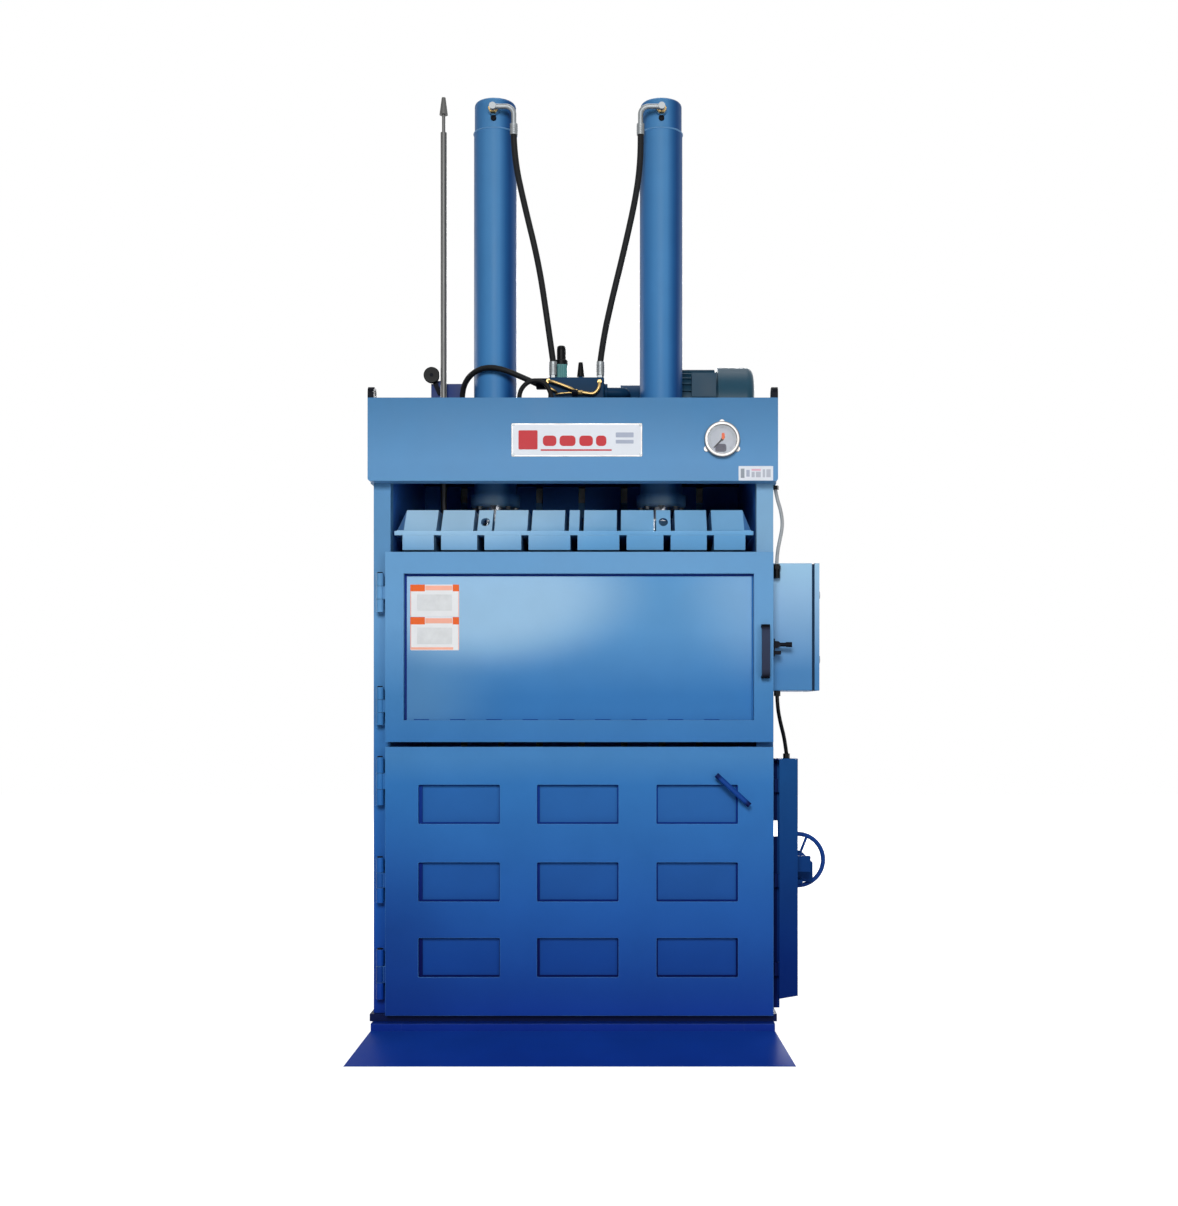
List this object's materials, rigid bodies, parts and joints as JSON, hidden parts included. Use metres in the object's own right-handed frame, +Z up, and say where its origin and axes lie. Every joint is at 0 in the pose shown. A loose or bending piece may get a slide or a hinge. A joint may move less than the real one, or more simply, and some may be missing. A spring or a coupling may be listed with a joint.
{
  "type": "recycling baler",
  "caption": "Vertical hydraulic baling press with a ribbed platen on twin cylinders, a feed door over a windowed bale door, and a floor ramp.",
  "frame": {"origin": "on the floor under the middle of the body, at the underside of the skids' cross member", "axes": "+X to the right seen from the doors, +Y to the back, +Z up"},
  "size_m": [1.546, 1.22, 3.284],
  "materials": {
    "enamel": "satin enamel",
    "enamel_dark": "satin enamel",
    "chrome": "ground and chromed",
    "bright_steel": "drawn bar",
    "black_steel": "black paint",
    "black_plastic": "moulded",
    "motor_paint": "grey-green paint",
    "red_plastic": "moulded",
    "green_plastic": "moulded",
    "brass": "plated",
    "rubber": "hose cover",
    "grey_plastic": "corrugated",
    "gauge_steel": "polished"
  },
  "bodies": {
    "press_frame": {"base_frame": "enamel_dark", "chamber_floor": "enamel_dark", "ramp_plate": "enamel_dark", "chamber_walls": "enamel", "side_frames": "enamel", "front_posts": "enamel", "rear_beams": "enamel", "hinge_pins": "bright_steel", "crown_fascia": "enamel", "crown_panels": "enamel", "cylinder_plate": "enamel", "crown_deck": "enamel", "lifting_eyes": "black_steel", "cylinder_tubes": "enamel", "cylinder_ends": "enamel", "limit_switch": "enamel_dark", "oil_tank": "enamel", "motor_body": "motor_paint", "motor_fan_cowl": "motor_paint", "pump": "motor_paint", "valve_block": "enamel_dark", "solenoid_coil": "black_plastic", "latch_base": "black_steel", "lock_cover": "enamel", "lock_bracket": "enamel_dark", "cabinet_box": "enamel", "cabinet_gasket": "rubber", "switchgear": "bright_steel", "gauge_case": "gauge_steel", "left_head_hose": "rubber", "right_head_hose": "rubber", "left_rod_hose": "rubber", "right_rod_hose": "rubber", "conduit": "grey_plastic", "lock_cable": "rubber", "hose_fittings": "brass", "cable_glands": "black_plastic"},
    "platen": {"platen_plate": "enamel", "press_bars": "enamel", "platen_ribs": "enamel", "rod_pins": "bright_steel", "piston_rods": "chrome", "trip_rod": "bright_steel"},
    "feed_door": {"feed_door_frame": "enamel", "feed_door_panel": "enamel", "feed_door_handle": "black_steel"},
    "bale_door": {"bale_door_face": "enamel", "bale_door_back": "enamel", "bale_door_handle": "enamel"},
    "cabinet_door": {"cabinet_door": "enamel"},
    "estop": {"estop_button": "red_plastic"},
    "down_button": {"down_button": "green_plastic"},
    "up_button": {"up_button": "black_plastic"},
    "feed_latch": {"latch_lever": "black_steel"},
    "handwheel": {"handwheel": "enamel"},
    "lock_bar": {"lock_bar": "bright_steel"},
    "gauge_needle": {"gauge_needle": "black_plastic"},
    "relief_knob": {"relief_knob": "black_plastic"},
    "switch_arm": {"limit_switch_arm": "bright_steel"},
    "switch_roller": {"limit_roller": "black_plastic"}
  },
  "joints": [
    {"name": "platen_slide", "type": "slide", "parent": "press_frame", "child": "platen", "axis": [0, 0, -1], "range_m": [0, 0.95]},
    {"name": "feed_door_hinge", "type": "hinge", "parent": "press_frame", "child": "feed_door", "pos_m": [-0.6295, -0.48, 1.3], "axis": [0, 0, -1], "range_deg": [0, 120]},
    {"name": "bale_door_hinge", "type": "hinge", "parent": "press_frame", "child": "bale_door", "pos_m": [-0.6295, -0.48, 0.54], "axis": [0, 0, -1], "range_deg": [0, 120]},
    {"name": "cabinet_door_hinge", "type": "hinge", "parent": "press_frame", "child": "cabinet_door", "pos_m": [0.8035, -0.0245, 1.373], "axis": [0, 0, 1], "range_deg": [0, 120]},
    {"name": "estop_press", "type": "slide", "parent": "cabinet_door", "child": "estop", "axis": [-1, 0, 0], "range_m": [0, 0.004], "stiffness_N_per_m": 800},
    {"name": "down_press", "type": "slide", "parent": "cabinet_door", "child": "down_button", "axis": [-1, 0, 0], "range_m": [0, 0.004], "stiffness_N_per_m": 400},
    {"name": "up_press", "type": "slide", "parent": "cabinet_door", "child": "up_button", "axis": [-1, 0, 0], "range_m": [0, 0.004], "stiffness_N_per_m": 400},
    {"name": "feed_latch_turn", "type": "hinge", "parent": "press_frame", "child": "feed_latch", "pos_m": [0.669, -0.432, 1.312], "axis": [0, -1, 0], "range_deg": [0, 90]},
    {"name": "handwheel_turn", "type": "hinge", "parent": "press_frame", "child": "handwheel", "pos_m": [0.754, -0.264, 0.588], "axis": [0, -1, 0], "range_deg": [0, 1440]},
    {"name": "lock_bar_slide", "type": "slide", "parent": "press_frame", "child": "lock_bar", "axis": [0, -1, 0], "range_m": [0, 0.0241]},
    {"name": "gauge_needle_turn", "type": "hinge", "parent": "press_frame", "child": "gauge_needle", "pos_m": [0.483, -0.5245, 1.971], "axis": [0, 1, 0], "range_deg": [0, 270], "stiffness_Nm_per_rad": 0.02},
    {"name": "relief_knob_turn", "type": "hinge", "parent": "press_frame", "child": "relief_knob", "pos_m": [0.012, -0.1, 2.29], "axis": [0, 0, 1], "range_deg": [-180, 180]},
    {"name": "switch_arm_swing", "type": "hinge", "parent": "press_frame", "child": "switch_arm", "pos_m": [-0.5, 0.029, 2.236], "axis": [0, -1, 0], "range_deg": [0, 25], "stiffness_Nm_per_rad": 2},
    {"name": "switch_roller_spin", "type": "hinge", "parent": "switch_arm", "child": "switch_roller", "pos_m": [-0.526, 0.019, 2.297], "axis": [0, 1, 0], "continuous": true}
  ],
  "couplings": [
    {"joint": "lock_bar_slide", "follows": "handwheel_turn", "m_per_rad": 0.0009549}
  ]
}
